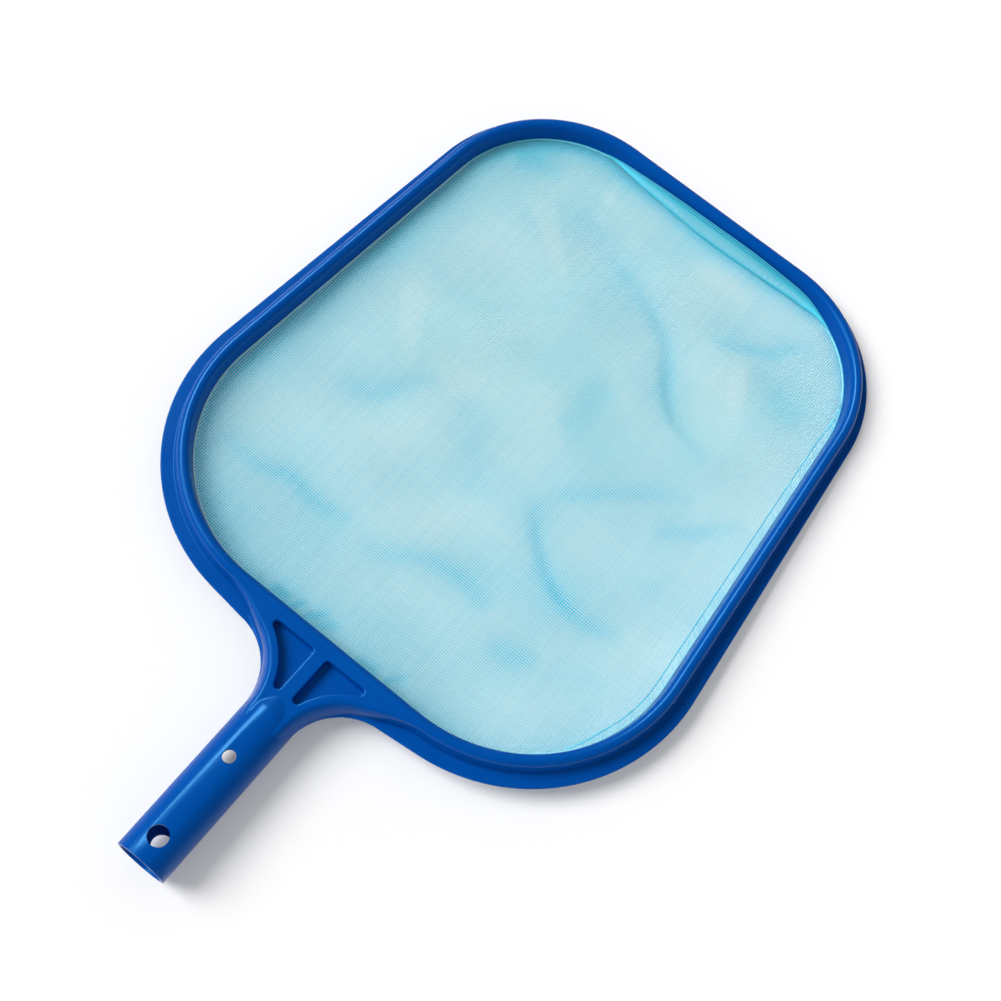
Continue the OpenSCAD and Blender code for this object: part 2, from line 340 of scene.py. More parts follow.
def swept_ring(name, points, out, profile):
    """A profile carried round the opening: each point is the station plus the profile's distance times the
    direction outwards, at the profile's height over the flange's underside."""
    plan = points[:, None] + profile[..., :1] * out[:, None]
    height = FLANGE_BASE + profile[..., 1:]
    verts = np.concatenate([plan, height], -1)
    quads = grid_faces(verts.shape[0], verts.shape[1], True, True)
    piece = mesh_piece(name, verts, quads, RING_TURN)
    flat = piece.modifiers.new("true flats", "WEIGHTED_NORMAL")
    flat.keep_sharp = True
    return piece


def bead_apex(centre, radius, inner, outer):
    """Point where a bead's two sloping walls would meet: each wall is the line from its foot that touches
    the crown's circle, turned from the line to the centre by asin(radius / distance)."""

    def wall(foot, side):
        """Direction of the wall that rises from a foot."""
        to_centre = centre - foot
        lean = math.asin(radius / np.linalg.norm(to_centre))
        return ways(math.atan2(to_centre[1], to_centre[0]) + side * lean)

    a, b = wall(inner, 1), wall(outer, -1)
    along = np.linalg.solve(np.stack([a, -b], -1), outer - inner)
    return inner + along[0] * a


def crown_centre(rim):
    """Centre of the crown's circle in the bead's section: its radius below the bead's height."""
    return np.array([rim.bead_width / 2, rim.bead_height - rim.crown_radius])


def groove_half(rim):
    """Half the width of the groove for the clamp ring's tongue."""
    return rim.bead_width / 2 - rim.wall - 2 * rim.clearance


def rim_profile(rim, net_top, reach, square):
    """Section of the rim at every station as distance outwards and height: bead, flange, seat of the clamp
    ring and groove for its tongue. square is 1 where the flange runs on into the throat."""
    foot_round, fillet, groove_round, square_round = 0.35 * MM, 1.2 * MM, 0.15 * MM, 0.02 * MM
    flange_edge = slice(3, 5)
    apex = bead_apex(crown_centre(rim), rim.crown_radius, np.array([0.0, net_top]),
                     np.array([rim.bead_width, rim.flange]))
    seat = rim.bead_width - rim.wall
    groove = groove_half(rim)
    near, far = rim.bead_width / 2 - groove, rim.bead_width / 2 + groove
    top = net_top + rim.clamp_tongue + rim.clearance
    fixed = np.array([[0.0, net_top], apex, [rim.bead_width, rim.flange], [0.0, rim.flange], [0.0, 0.0],
                      [seat, 0.0], [seat, net_top], [far, net_top], [far, top], [near, top],
                      [near, net_top]])
    corners = np.repeat(fixed[None], len(reach), 0)
    corners[:, flange_edge, 0] = reach[:, None]
    radii = np.full(corners.shape[:2], groove_round)
    radii[:, :flange_edge.start] = foot_round, rim.crown_radius, fillet
    radii[:, flange_edge] = (rim.edge_radius + (square_round - rim.edge_radius) * square)[:, None]
    return rounded(corners, radii, steps=14)


def clamp_profile(rim, net_top):
    """Section of the clamp ring: a flat base under the net, and a tongue up into the bead's groove."""
    edge_round = 0.3 * MM
    outer = rim.bead_width - rim.wall - rim.clearance
    half = groove_half(rim) - rim.clearance
    near, far = rim.bead_width / 2 - half, rim.bead_width / 2 + half
    top = net_top + rim.clamp_tongue
    corners = np.array([[0.0, 0.0], [0.0, rim.clamp_base], [near, rim.clamp_base], [near, top],
                        [far, top], [far, rim.clamp_base], [outer, rim.clamp_base], [outer, 0.0]])
    return rounded(corners, np.full(len(corners), edge_round), steps=4)


def feed(tree, node, values):
    """Sets a node's inputs, found by name or place, to numbers and colours or links them to outputs, and
    gives back the node's own outputs."""
    for key, value in values.items():
        if isinstance(value, bpy.types.NodeSocket):
            tree.links.new(value, node.inputs[key])
        else:
            node.inputs[key].default_value = value
    return node.outputs


def noise(tree, scale, detail):
    """Cloudy noise that is fixed to the object."""
    place = tree.nodes.new("ShaderNodeTexCoord").outputs["Object"]
    cloud = tree.nodes.new("ShaderNodeTexNoise")
    return feed(tree, cloud, {"Vector": place, "Scale": scale, "Detail": detail})["Fac"]


def mapped(tree, value, low, high, start=0.35, end=0.65):
    """A value carried over from the range start to end, where noise mostly lies, to low to high."""
    return feed(tree, tree.nodes.new("ShaderNodeMapRange"), {
        "Value": value, "From Min": start, "From Max": end, "To Min": low, "To Max": high})["Result"]


def mixed_colour(tree, factor, low, high):
    """Low where the factor is 0, high where it is 1."""
    mix = tree.nodes.new("ShaderNodeMix")
    mix.data_type = "RGBA"
    return feed(tree, mix, {"Factor": factor, "A": low, "B": high})["Result"]


def mixed_shader(tree, factor, first, second):
    """The first shader where the factor is 0, the second where it is 1."""
    mix = tree.nodes.new("ShaderNodeMixShader")
    return feed(tree, mix, {0: factor, 1: first, 2: second})["Shader"]


def greater(tree, first, second):
    """The greater of two values."""
    maths = tree.nodes.new("ShaderNodeMath")
    maths.operation = "MAXIMUM"
    return feed(tree, maths, {0: first, 1: second})["Value"]


def tinted(base, factor=1.0):
    """An opaque colour, made darker or lighter by a factor."""
    return (*(min(1.0, factor * channel) for channel in base), 1.0)


def material_tree(name):
    """A new material, its node tree and its main shader."""
    material = bpy.data.materials.new(name)
    material.use_nodes = True
    return material, material.node_tree, material.node_tree.nodes["Principled BSDF"]


def moulded_plastic(finish):
    """Semi-gloss blue polypropylene: cloudy tone from the melt's flow, gloss that varies a little, and
    highlights tinted by the pigment."""
    material, tree, shader = material_tree("moulded blue plastic")
    flow = noise(tree, scale=22.0, detail=3.0)
    gloss = noise(tree, scale=45.0, detail=2.0)
    feed(tree, shader, {
        "Base Color": mixed_colour(tree, flow, tinted(finish.plastic, 0.92), tinted(finish.plastic, 1.06)),
        "Roughness": mapped(tree, gloss, low=0.21, high=0.26),
        "Specular IOR Level": 0.16, "Specular Tint": tinted(finish.glint)})
    return material


def woven_nylon(finish):
    """Pale nylon thread: tone from thread to thread, deeper colour in the folds and painted shade along the
    net's left side and near edge, all carried by the mesh as a value from 0 to 2, with a soft sheen."""
    material, tree, shader = material_tree("woven pale blue nylon")
    fold = tree.nodes.new("ShaderNodeAttribute")
    fold.attribute_name = "fold"
    depth = fold.outputs["Fac"]
    gathered = mixed_colour(tree, depth, tinted(finish.thread), tinted(finish.fold))
    past = mapped(tree, depth, low=0.0, high=1.0, start=1.0, end=2.0)
    fibre = noise(tree, scale=600.0, detail=2.0)
    feed(tree, shader, {
        # Values from 1 to 2 blend towards the crease colour, which also serves as painted shade along the
        # net's left side
        "Base Color": mixed_colour(tree, past, gathered, tinted(finish.crease)),
        "Roughness": mapped(tree, fibre, low=0.42, high=0.6),
        "Specular IOR Level": 0.35, "Sheen Weight": 0.15})
    return material


def plain_floor(finish):
    """Pale matt floor with a barely uneven tone and a share of plain white where it is looked at, seen only
    from above."""
    material, tree, shader = material_tree("pale floor")
    tone = noise(tree, scale=3.0, detail=2.0)
    feed(tree, shader, {
        "Base Color": mixed_colour(tree, tone, tinted(finish.floor, 0.985), tinted(finish.floor)),
        "Roughness": 0.9, "Specular IOR Level": 0.1})
    ray = tree.nodes.new("ShaderNodeLightPath").outputs
    seen = greater(tree, ray["Is Camera Ray"], ray["Is Glossy Ray"])
    seen_through = greater(tree, seen, ray["Is Transmission Ray"])
    glow = bpy.context.scene.skimmer_studio.floor_glow
    share = mapped(tree, seen_through, low=0.0, high=glow, start=0.0, end=1.0)
    white = tree.nodes.new("ShaderNodeEmission").outputs["Emission"]
    glowing = mixed_shader(tree, share, shader.outputs["BSDF"], white)
    below = tree.nodes.new("ShaderNodeNewGeometry").outputs["Backfacing"]
    clear = tree.nodes.new("ShaderNodeBsdfTransparent").outputs["BSDF"]
    feed(tree, tree.nodes["Material Output"], {"Surface": mixed_shader(tree, below, glowing, clear)})
    return material


def sun_lamp(name, energy, size, place, in_highlights_only):
    """A distant lamp that shines from the given direction and fills an angle of the given size."""
    light = bpy.data.lights.new(name, "SUN")
    light.energy = energy
    light.angle = size
    lamp = placed(name, light)
    lamp.matrix_world = Matrix.Translation(place) @ place.to_track_quat("Z", "Y").to_matrix().to_4x4()
    lamp.visible_diffuse = not in_highlights_only


def shared_material(name, make):
    """The material of that name, made on first use."""
    return bpy.data.materials.get(name) or make(bpy.context.scene.skimmer_finish)


def node_solid(node):
    """An editable copy of a CAD node with its doubled points joined."""
    solid = bmesh.new()
    solid.from_mesh(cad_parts[node].data)
    bmesh.ops.remove_doubles(solid, verts=solid.verts, dist=WELD)
    return solid


def solid_piece(name, solid):
    """The edited solid as an object."""
    mesh = bpy.data.meshes.new(name)
    solid.to_mesh(mesh)
    solid.free()
    return placed(name, mesh)


def eased_node(name, node, width, is_seam):
    """A copy of a CAD node with its sharp edges rounded by a bevel, apart from the edges where it meets the
    rest of the moulding, which is_seam names by their ends."""
    solid = node_solid(node)
    bmesh.ops.dissolve_limit(solid, angle_limit=FLAT_TURN, verts=solid.verts, edges=solid.edges)
    weights = solid.edges.layers.float.new("bevel_weight_edge")
    for edge in solid.edges:
        sharp = len(edge.link_faces) == 2 and edge.calc_face_angle() > SHARP_TURN
        seam = sharp and is_seam(edge.verts[0].co, edge.verts[1].co)
        edge[weights] = float(sharp and not seam)
        edge.smooth = not seam
    piece = solid_piece(name, solid)
    piece.data.polygons.foreach_set("use_smooth", np.ones(len(piece.data.polygons), bool))
    bevel = piece.modifiers.new("eased edges", "BEVEL")
    bevel.limit_method = "WEIGHT"
    bevel.width = width
    bevel.segments = 3
    bevel.miter_outer = "MITER_ARC"
    bevel.harden_normals = True
    return piece


def capped_sweep(rings):
    """Closed surface through rings of points, of shape (rings, points, 3): quads from ring to ring, and
    each end drawn together in its mean point."""
    ends = np.repeat(rings[[0, -1]].mean(1)[:, None], rings.shape[1], 1)
    points = np.concatenate([ends[:1], rings, ends[1:]])
    return points.reshape(-1, 3), grid_faces(len(points), rings.shape[1], False, True)


def across_prism(half, section, near_y):
    """A prism along X from -half to half with a section of distances outwards and heights."""
    ring = np.stack([0 * section[:, 0], near_y - section[:, 0], FLANGE_BASE + section[:, 1]], -1)
    return capped_sweep(ring[None] + np.array([-half, half])[:, None, None] * np.array([1.0, 0.0, 0.0]))


def arm_lines(rim, radius, reach, height, steps):
    """Lines of one arm at several levels, in plan. A lead-in rises out of the round socket. An arc of the
    level's radius follows round the sweep's centre, drawn out to the flange's edge at the foot near the
    socket. From where the line to the arm's end touches that arc it runs straight, then bends along a
    quadratic curve into the bead's corner, and at last sinks into the bead."""
    lead_in, lead_inset, bend_length = 12 * MM, 1.5 * MM, 15 * MM
    end_turn, tail_turn, under_skin, tail_sink = math.radians(12), math.radians(9), 0.3 * MM, 2 * MM
    flush_from, flush_span, foot_gap = math.radians(110), math.radians(50), 0.2 * MM
    centres, radii, first, _ = opening_corners(rim)
    centre = sweep_centre(rim)
    share = np.linspace(0.0, 1.0, steps // 3)[:, None]
    end = np.stack([np.full(len(radius), centres[0, 0]), near_edge(rim) - reach], -1)
    gap = end - centre
    stop = np.arctan2(gap[:, 1], gap[:, 0]) + np.arccos(radius / np.linalg.norm(gap, axis=-1))
    turn = math.pi + (stop - math.pi)[:, None] * np.linspace(0.0, 1.0, steps)
    close = eased(ramp(turn, flush_from, flush_span))
    level = (height - height.min()) / (height.max() - height.min())
    flush = (radius - rim.throat_radius - foot_gap) * (1 - level) ** 2
    arc = centre + (radius[:, None] - flush[:, None] * close)[..., None] * ways(turn)
    round_half = np.sqrt(SOCKET_RADIUS**2 - height**2) - lead_inset
    lead = np.stack([np.minimum(round_half, arc[:, 0, 0]),
                     np.full(len(radius), SOCKET_HIGH.y - lead_in)], -1)
    run_in = lead[:, None] + (arc[:, :1] - lead[:, None]) * np.concatenate([eased(share), share], -1)
    back = arc[:, -1] - end
    bend_from = end + back * np.minimum(1.0, bend_length / np.linalg.norm(back, axis=-1, keepdims=True))
    run = arc[:, -1:] + (bend_from[:, None] - arc[:, -1:]) * share

    def beside_bead(turned, sink):
        """Points round the near right corner: its radius and the reach, less the sink, from its centre."""
        return centres[0] + (radii[0] + reach[:, None] - sink)[..., None] * ways(first[0] + turned)

    bend_to = beside_bead(np.full(1, end_turn), np.full(1, under_skin))
    bend = (1 - share) ** 2 * bend_from[:, None] + share**2 * bend_to
    bend += 2 * share * (1 - share) * end[:, None]
    tail = beside_bead(end_turn + tail_turn * share[:, 0], under_skin + tail_sink * share[:, 0])
    return np.concatenate([run_in[:, :-1], arc, run[:, 1:], bend[:, 1:], tail[:, 1:]], 1)


def arm_core(rim):
    """Outer wall of the right arm: its foot and its top are joined by a quarter of an ellipse, as
    1 - cos(t) inwards and sin(t) upwards, and its inner side stands a little short of the recess."""
    inner_setback, inner_reach, levels = 2.5 * MM, 2 * MM, 25
    t = np.linspace(0.0, math.pi / 2, levels)
    foot = rim.throat_radius + rim.arm_foot
    top = rim.throat_radius + rim.arm_setback
    over_crown = rim.bracket_height - crown_centre(rim)[1]
    foot_reach = rim.bead_width - rim.wall / 2
    top_reach = rim.bead_width / 2 + math.sqrt(rim.crown_radius**2 - over_crown**2)
    inwards = np.concatenate([1 - np.cos(t), [1.0, 1.0]])
    radius = foot + (top - foot) * inwards
    radius[-2:] += inner_setback
    reach = foot_reach + (top_reach - foot_reach) * inwards
    reach[-2:] -= inner_reach
    height = rim.flange + (rim.bracket_height - rim.flange) * np.concatenate([np.sin(t), [1.0, 0.0]])
    lines = arm_lines(rim, radius, reach, height, steps=48)
    level = np.repeat((FLANGE_BASE + height)[:, None], lines.shape[1], 1)
    return np.concatenate([lines, level[..., None]], -1).transpose(1, 0, 2)


def throat_cores(rim, net_top):
    """Closed forms that are fused with the throat bracket: its round neck and the arms' shoulders drawn
    finely, and tongues that run on inside the bead, the flange and the socket's end, just under their
    skin."""
    under, skin, lip = 0.3 * MM, 0.05 * MM, 0.1 * MM
    tongue_length, bead_overlap, socket_overlap = 7 * MM, 5 * MM, 2.6 * MM
    taper_shown, tip_drop, neck_points = 0.8, 1 * MM, 144
    near_y = near_edge(rim)
    centres, _, _, _ = opening_corners(rim)
    _, start = throat_flare(rim)
    inner, outer = np.array([under, net_top]), np.array([rim.bead_width - under, net_top])
    crown_radius = rim.crown_radius - under
    apex = bead_apex(crown_centre(rim), crown_radius, inner, outer)
    crown = rounded(np.array([inner, apex, outer]), np.array([lip, crown_radius, lip]), steps=12)
    foot = near_y - start[1]
    tongue = np.array([[foot + lip, skin], [foot + lip, rim.flange - skin],
                       [foot - tongue_length, rim.flange - skin], [foot - tongue_length, skin]])
    turn = np.linspace(0.0, 2 * math.pi, neck_points, endpoint=False)
    along = SOCKET_HIGH.y + np.array([-socket_overlap, 0.0, rim.neck_length,
                                      rim.neck_length + taper_shown * rim.neck_taper])
    tip = SOCKET_RADIUS + taper_shown * (rim.bracket_height - tip_drop - SOCKET_RADIUS)
    radius = np.array([SOCKET_RADIUS, SOCKET_RADIUS, SOCKET_RADIUS, tip])
    neck = np.stack([radius[:, None] * np.cos(turn), np.repeat(along[:, None], len(turn), 1),
                     SOCKET_LOW.z + SOCKET_RADIUS + radius[:, None] * np.sin(turn)], -1)
    arm = arm_core(rim)
    mirror = np.array([-1.0, 1.0, 1.0])
    return [across_prism(centres[0, 0] + bead_overlap, crown, near_y),
            across_prism(start[0] - under, tongue, near_y),
            capped_sweep(neck), capped_sweep(arm), capped_sweep(arm * mirror)]


def blended_node(name, node, cores, cell, passes):
    """A CAD node fused with further closed forms on a fine grid and smoothed, so that every edge and inner
    corner is rounded as on a moulding."""
    solid = node_solid(node)
    for points, quads in cores:
        core = bpy.data.meshes.new("core")
        core.from_pydata(points, [], quads)
        solid.from_mesh(core)
        bpy.data.meshes.remove(core)
    piece = solid_piece(name, solid)
    fused = piece.modifiers.new("fused", "REMESH")
    fused.mode = "VOXEL"
    fused.voxel_size = cell
    fused.use_smooth_shade = True
    softened = piece.modifiers.new("softened", "SMOOTH")
    softened.factor = 0.5
    softened.iterations = passes
    return piece


def ground_height(rim, y):
    """Height of the ground the part lies on: it rests on the underside of the neck and on the flange's far
    edge, and the socket's mouth stands a little off the ground."""
    heel = SOCKET_HIGH.y + rim.neck_length
    share = (y - heel) / (RIM_HIGH.y - heel)
    return SOCKET_LOW.z + (FLANGE_BASE - SOCKET_LOW.z) * share


# Main folds of the slack net and, with a negative tone, paler patches on it: points that each one runs
# through, in millimetres from the middle of the near edge, then its half width and depth in millimetres and
# how far its colour deepens
FOLDS = (
    (((36, 154), (49, 171), (68, 188), (87, 205), (109, 218)), 5.0, 1.0, 0.40),
    (((36, 156), (37, 146), (44, 137), (60, 123), (79, 112), (98, 108), (115, 112), (127, 119)),
     5.0, 1.2, 0.55),
    (((97, 184), (115, 195), (130, 210), (144, 227)), 5.5, 0.8, 0.40),
    (((-37, 322), (0, 309), (24, 298), (38, 285), (49, 268), (63, 256), (79, 249), (102, 242)),
     5.5, 1.2, 0.50),
    (((-88, 345), (-62, 334), (-37, 322), (-10, 313)), 12.0, 0.4, 0.25),
    (((49, 317), (66, 324), (82, 332), (94, 345), (106, 357)), 5.0, 0.8, 0.42),
    (((-113, 135), (-87, 143), (-76, 163), (-62, 178)), 6.0, 0.7, 0.38),
    (((-141, 62), (-111, 59), (-91, 66), (-73, 64), (-58, 65), (-42, 68)), 5.0, 1.0, 0.50),
    (((-34, 61), (-16, 64), (0, 76), (16, 82), (33, 83), (49, 79), (57, 78)), 6.0, 1.0, 0.48),
    (((63, 64), (75, 62), (88, 67), (97, 76)), 6.0, 0.7, 0.36),
    (((10, 202), (18, 213), (18, 234), (24, 247)), 10.0, 0.9, 0.42),
    (((-43, 181), (-18, 153), (6, 127)), 11.0, 0.6, 0.26),
    (((-122, 238), (-100, 231), (-76, 236), (-55, 251), (-31, 277)), 9.0, 0.4, 0.20),
    (((81, 317), (106, 313), (132, 305)), 9.0, 0.5, 0.26),
    (((115, 139), (123, 155), (131, 173)), 8.0, 0.4, 0.18),
    (((101, 70), (119, 79), (136, 89)), 8.0, 0.4, 0.16),
    (((-129, 335), (-115, 343), (-95, 347)), 8.0, 0.5, 0.35),
    (((1, 100), (42, 101), (92, 89)), 14.0, 0.4, 0.14),
    (((-80, 301), (-76, 307), (-70, 313)), 34.0, 0.0, -0.22),
    (((-110, 190), (-103, 195), (-95, 200)), 28.0, 0.0, -0.20),
    (((80, 292), (86, 295), (92, 298)), 18.0, 0.0, -0.22),
    (((6, 352), (30, 355), (56, 357)), 9.0, 0.0, -0.28),
    (((-66, 354), (-62, 355), (-58, 356)), 16.0, 0.0, -0.18),
    (((-52, 3), (-46, 5), (-39, 7)), 2.5, 0.2, 0.50),
    (((-36, 0), (-33, 5), (-29, 12)), 2.2, 0.3, 0.45),
    (((-25, 0), (-21, 7), (-15, 16)), 2.2, 0.3, 0.45),
    (((-15, 0), (-11, 7), (-6, 13)), 2.5, 0.2, 0.40),
    (((14, 1), (22, 3), (32, 2)), 2.5, 0.2, 0.45),
    (((36, 0), (39, 7), (43, 15)), 2.2, 0.3, 0.38),
)
# Painted shade beside a fold: the fold's colour reaches past its dent as a halo; width of that halo in
# widths of the dent, and its share of the tone
SHADE_HALO_WIDTH, SHADE_HALO_SHARE = 2.8, 0.38
# Distance from the rim over which the net's slack grows
SETTLE = 14 * MM
# Colour of the plain net, how far it deepens at each edge, and the distance over which that fades; along the
# left side and towards the near edge the deepening is painted shade
BASE_TONE = 0.23
EDGE_TONE, EDGE_FADE = 0.30, 4 * MM
LEFT_SHADE, LEFT_SHADE_FADE = 0.9, 12 * MM
NEAR_SHADE, NEAR_SHADE_FADE = 0.28, 75 * MM
FAR_TONE, FAR_FADE = 0.6, 3 * MM
CREASE_TONE, CREASE_FADE = 0.75, 6 * MM
# Spread of the colour from thread to thread
THREAD_SPREAD = 0.08


def smooth_line(points, steps):
    """A curve through points: cubic pieces whose slope at a point is half the step between its
    neighbours."""
    points = np.asarray(points, float)
    padded = np.concatenate([2 * points[:1] - points[1:2], points, 2 * points[-1:] - points[-2:-1]])
    t = np.linspace(0.0, 1.0, steps, endpoint=False)[None, :, None]
    a, b, c, d = (padded[k:len(padded) - 3 + k, None] for k in range(4))
    line = 0.5 * (2 * b + (c - a) * t + (2 * a - 5 * b + 4 * c - d) * t**2 + (3 * b - a - 3 * c + d) * t**3)
    return np.concatenate([line.reshape(-1, 2), points[-1:]])


def edge_distance(rim, plan):
    """How far each plan point lies inside the opening's edge: the least distance over the near and far
    edges, the two side lines and, beyond a corner's centre, its arc."""
    centres, radii, first, last = opening_corners(rim)
    x, y = np.abs(plan[..., 0]), plan[..., 1]
    near_y = centres[0, 1] - radii[0]
    lean = last[0]
    side = (rim.near_width / 2 - x) * math.cos(lean) - (y - near_y) * math.sin(lean)
    inside = np.minimum(side, np.minimum(y - near_y, near_y + rim.opening_length - y))
    for k, way in ((0, -1), (1, 1)):
        offset = np.stack([x, y], -1) - centres[k]
        direction = np.arctan2(offset[..., 1], offset[..., 0])
        in_arc = (direction > first[k]) & (direction < last[k])
        in_arc &= offset[..., 1] * way > -radii[k]
        arc = radii[k] - np.linalg.norm(offset, axis=-1)
        inside = np.where(in_arc, np.minimum(inside, arc), inside)
    return inside


def standing_edge(rim, plan):
    """How far the net's doubled edge stands up against the far wall, 0 to 1: a parabola along the far edge
    that fades towards both corners."""
    hump_middle, hump_half = 18 * MM, 102 * MM
    x, y = plan[..., 0], plan[..., 1] - near_edge(rim)
    hump = np.clip(1 - ((x - hump_middle) / hump_half) ** 2, 0.0, 1.0)
    beyond = ramp(y / rim.opening_length, start=0.85, span=0.05)
    return hump * beyond * ramp(x, start=108 * MM, span=-25 * MM)


def slack_surface(rim, net, plan):
    """Height of the slack net and how deep its colour is, 0 to 2. A broad sag and low waves grow from
    nothing at the rim; each fold takes depth * exp(-(distance / width)^2) off along its line, fading out at
    both ends, and the colour deepens towards the edge, most along the left side and the far edge. The
    deepening along the left side and the near edge, and the halo round each fold, are painted shade."""
    broad, slanting, low, patches, flecks, end_fade = 0.9 * MM, 0.7 * MM, 0.5 * MM, 0.09, 0.06, 0.6
    edge = np.clip(edge_distance(rim, plan), 0.0, None)
    free = 1 - np.exp(-edge / SETTLE)
    level = FLANGE_BASE + rim.clamp_base + net.thickness / 2
    ground = ground_height(rim, plan[..., 1])
    x, y = plan[..., 0], plan[..., 1] - near_edge(rim)
    # Wave numbers are in radians per metre and have no common period
    waves = broad * np.sin(x * 48 + 1.3 * np.sin(y * 21)) * np.cos(y * 39 - 0.6)
    waves += slanting * np.sin(x * 83 - y * 57 + 0.8) + low * np.sin(y * 101 + x * 33)
    height = level + free * (waves - net.slack * (level - ground))
    depth = np.zeros(plan.shape[:-1])
    here = np.stack([x, y], -1)
    for points, width, drop, tone in FOLDS:
        line = smooth_line(points, steps=8) * MM
        start, step = line[:-1], np.diff(line, axis=0)
        offset = here[..., None, :] - start
        along = np.clip(np.sum(offset * step, -1) / np.sum(step * step, -1), 0.0, 1.0)
        gap = np.linalg.norm(offset - along[..., None] * step, axis=-1)
        nearest = np.argmin(gap, -1)
        gap = np.min(gap, -1)
        share = (nearest + np.take_along_axis(along, nearest[..., None], -1)[..., 0]) / len(step)
        fade = np.clip(4 * share * (1 - share), 0.0, 1.0) ** end_fade
        bump = fade * np.exp(-(gap / (width * MM)) ** 2)
        height -= free * drop * MM * bump
        # Painted shade: a fold with a positive tone gets a broad halo of deeper colour round it
        shade_halo = fade * np.exp(-(gap / (SHADE_HALO_WIDTH * width * MM)) ** 2) if tone > 0 else bump
        depth += tone * ((1 - SHADE_HALO_SHARE) * bump + SHADE_HALO_SHARE * shade_halo)
    depth += patches * np.sin(x * 41 + 1.4 * np.sin(y * 19)) * np.cos(y * 33 - x * 11 + 0.4)
    depth += flecks * np.sin(x * 77 - y * 63 + 2.1) * np.sin(y * 49 + x * 23)
    # Painted shade: the colour deepens along the left side, most strongly next to the rim
    left = ramp(-x, start=0.0, span=90 * MM) * ramp(y, start=-20 * MM, span=60 * MM)
    far = ramp(y, start=300 * MM, span=50 * MM)
    depth += EDGE_TONE * np.exp(-edge / EDGE_FADE) + LEFT_SHADE * left * np.exp(-edge / LEFT_SHADE_FADE)
    # Painted shade: the colour deepens towards the near edge
    depth += NEAR_SHADE * np.clip(1 - y / NEAR_SHADE_FADE, 0.0, 1.0)
    depth += FAR_TONE * far * np.exp(-edge / FAR_FADE)
    stand = standing_edge(rim, plan)
    past = np.clip(edge - stand * net.strip_width, 0.0, None)
    depth += CREASE_TONE * np.clip(3 * stand, 0.0, 1.0) * np.exp(-past / CREASE_FADE)
    lowest = ground + net.thread_height
    return np.maximum(height, lowest), BASE_TONE + depth


def thread_spans(rim, net, across):
    """Where the threads along one axis lie, start and end: each is cut off where it crosses a fine outline
    of the opening, moved out by the tuck under the bead."""
    tiny = 1e-9
    points, out, _ = opening_path(rim, corner_steps=90, straight_steps=40)
    outline = points + net.tuck * out
    order = outline[:, [1, 0]] if across else outline
    ring = np.concatenate([order, order[:1]])
    half = np.max(np.abs(outline[:, 0]))
    low, high = (np.min(outline[:, 1]), np.max(outline[:, 1])) if across else (-half, half)
    count = int((high - low) / net.pitch)
    at = low + (np.arange(count) + 0.5) * (high - low) / count
    a, b = ring[:-1], ring[1:]
    crossing = (a[None, :, 0] - at[:, None]) * (b[None, :, 0] - at[:, None]) <= 0
    slope = (at[:, None] - a[:, 0]) / np.where(b[:, 0] == a[:, 0], tiny, b[:, 0] - a[:, 0])
    meet = a[:, 1] + np.clip(slope, 0.0, 1.0) * (b[:, 1] - a[:, 1])
    return at, np.min(np.where(crossing, meet, np.inf), 1), np.max(np.where(crossing, meet, -np.inf), 1)


def thread_tubes(lines, half_width, half_height, fold):
    """Four-sided tubes along lines of shape (threads, rings, 3), with the colour value of every point. A
    corner is the line's point plus half the width square to the line in plan and half the height."""
    along = unit(np.gradient(lines[..., :2], axis=1))
    side = np.stack([along[..., 1], -along[..., 0], 0 * along[..., 0]], -1)
    corner = np.array([[-1.0, -1.0], [1.0, -1.0], [1.0, 1.0], [-1.0, 1.0]])
    verts = lines[:, :, None] + half_width * corner[:, :1] * side[:, :, None]
    verts[..., 2] += half_height * corner[:, 1]
    threads, rings = lines.shape[:2]
    tube = grid_faces(rings, 4, False, True)[:, ::-1]
    caps = np.array([[0, 1, 2, 3], [3, 2, 1, 0]]) + np.array([[0], [(rings - 1) * 4]])
    one = np.concatenate([tube, caps])
    quads = (one[None] + np.arange(threads)[:, None, None] * rings * 4).reshape(-1, 4)
    return verts.reshape(-1, 3), quads, np.repeat(np.clip(fold, 0.0, 2.0).ravel(), 4)


def thread_piece(name, groups):
    """One object from several groups of tubes, with their colour values as a point attribute."""
    starts = np.cumsum([0] + [len(points) for points, _, _ in groups])
    points = np.concatenate([group[0] for group in groups])
    quads = np.concatenate([group[1] + start for group, start in zip(groups, starts)])
    piece = mesh_piece(name, points, quads, math.pi)
    attribute = piece.data.attributes.new("fold", "FLOAT", "POINT")
    attribute.data.foreach_set("value", np.concatenate([group[2] for group in groups]).astype(np.float32))
    return piece


def thread_family(name, rim, net, across, seed):
    """All threads of one direction. Each runs in equal steps between its two ends, lying on the slack
    surface, the crosswise ones just under the lengthwise ones."""
    at, start, end = thread_spans(rim, net, across)
    share = np.linspace(0.0, 1.0, net.rings)
    along = start[:, None] + (end - start)[:, None] * share
    fixed = np.repeat(at[:, None], net.rings, 1)
    plan = np.stack([along, fixed] if across else [fixed, along], -1)
    height, depth = slack_surface(rim, net, plan)
    half = net.thread_height / 2
    level = height + (-0.5 * half if across else 0.5 * half)
    tone = np.random.default_rng(seed).uniform(-THREAD_SPREAD, THREAD_SPREAD, len(at))
    lines = np.concatenate([plan, level[..., None]], -1)
    return thread_piece(name, [thread_tubes(lines, net.thread_width / 2, half, depth + tone[:, None])])


def even_edge(rim, step):
    """Points at even steps round the opening's edge, and the directions outwards there."""
    points, out, _ = opening_path(rim, corner_steps=90, straight_steps=60)
    ring = np.concatenate([points, points[:1]])
    run = np.concatenate([[0.0], np.cumsum(np.linalg.norm(np.diff(ring, axis=0), axis=-1))])
    count = int(run[-1] / step)
    at = np.arange(count) * run[-1] / count
    around = np.concatenate([out, out[:1]])
    place = np.stack([np.interp(at, run, ring[:, k]) for k in (0, 1)], -1)
    away = np.stack([np.interp(at, run, around[:, k]) for k in (0, 1)], -1)
    return place, unit(away)


